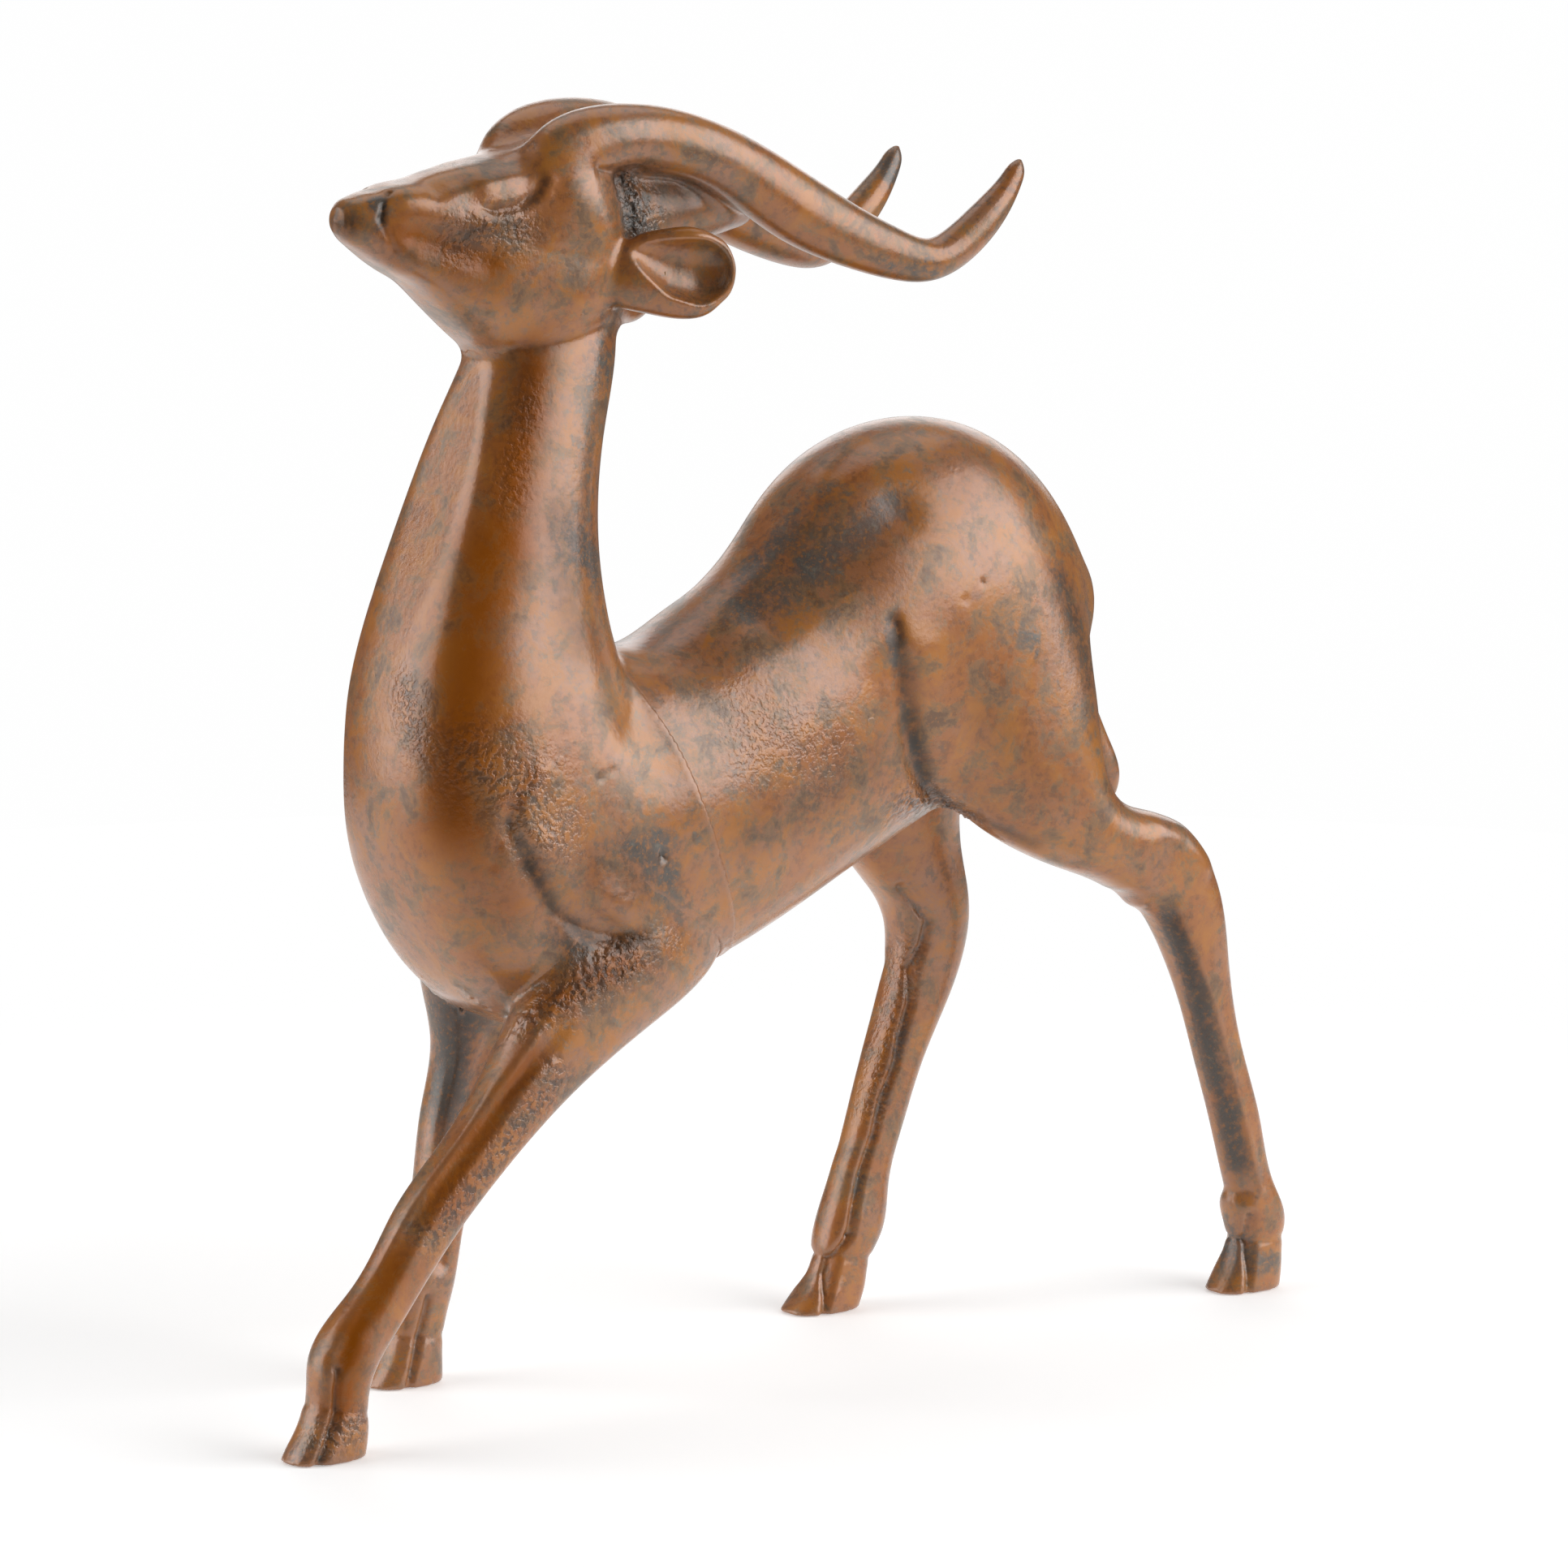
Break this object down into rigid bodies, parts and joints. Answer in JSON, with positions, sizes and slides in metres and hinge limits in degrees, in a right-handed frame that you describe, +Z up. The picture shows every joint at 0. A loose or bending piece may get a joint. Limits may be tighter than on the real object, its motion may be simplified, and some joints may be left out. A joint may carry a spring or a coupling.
{
  "type": "antelope statuette",
  "caption": "Standing bronze antelope with its head raised, horns swept back and legs spread, a hollow table figure.",
  "frame": {"origin": "middle of the footprint's bounding box, on the plane that the four hooves stand on", "axes": "+Z up, -X the way the animal faces, -Y its left side"},
  "size_m": [0.3108, 0.0693, 0.3151],
  "materials": {
    "bronze_patina": "brown patina under satin lacquer",
    "bronze_bare": "bare, as cut"
  },
  "bodies": {
    "root": {"neck_and_chest": "bronze_patina", "barrel": "bronze_patina", "head": "bronze_patina", "horn_left": "bronze_patina", "horn_right": "bronze_patina", "ear_left": "bronze_patina", "ear_right": "bronze_patina", "foreleg_left": "bronze_patina", "foreleg_right": "bronze_patina", "hind_leg_left": "bronze_patina", "hind_leg_right": "bronze_patina", "tail": "bronze_patina", "core_plug_chest_left": "bronze_patina", "core_plug_chest_right": "bronze_patina", "core_plug_flank_left": "bronze_patina", "core_plug_flank_right": "bronze_patina", "core_patch": "bronze_patina", "foreleg_left_pin": "bronze_bare", "foreleg_right_pin": "bronze_bare", "hind_leg_left_pin": "bronze_bare", "hind_leg_right_pin": "bronze_bare", "horn_pin_left": "bronze_bare", "horn_pin_right": "bronze_bare", "ear_pin_left": "bronze_bare", "ear_pin_right": "bronze_bare", "tail_pin": "bronze_bare", "neck_spigot": "bronze_bare", "waist_spigot": "bronze_bare"}
  },
  "joints": []
}
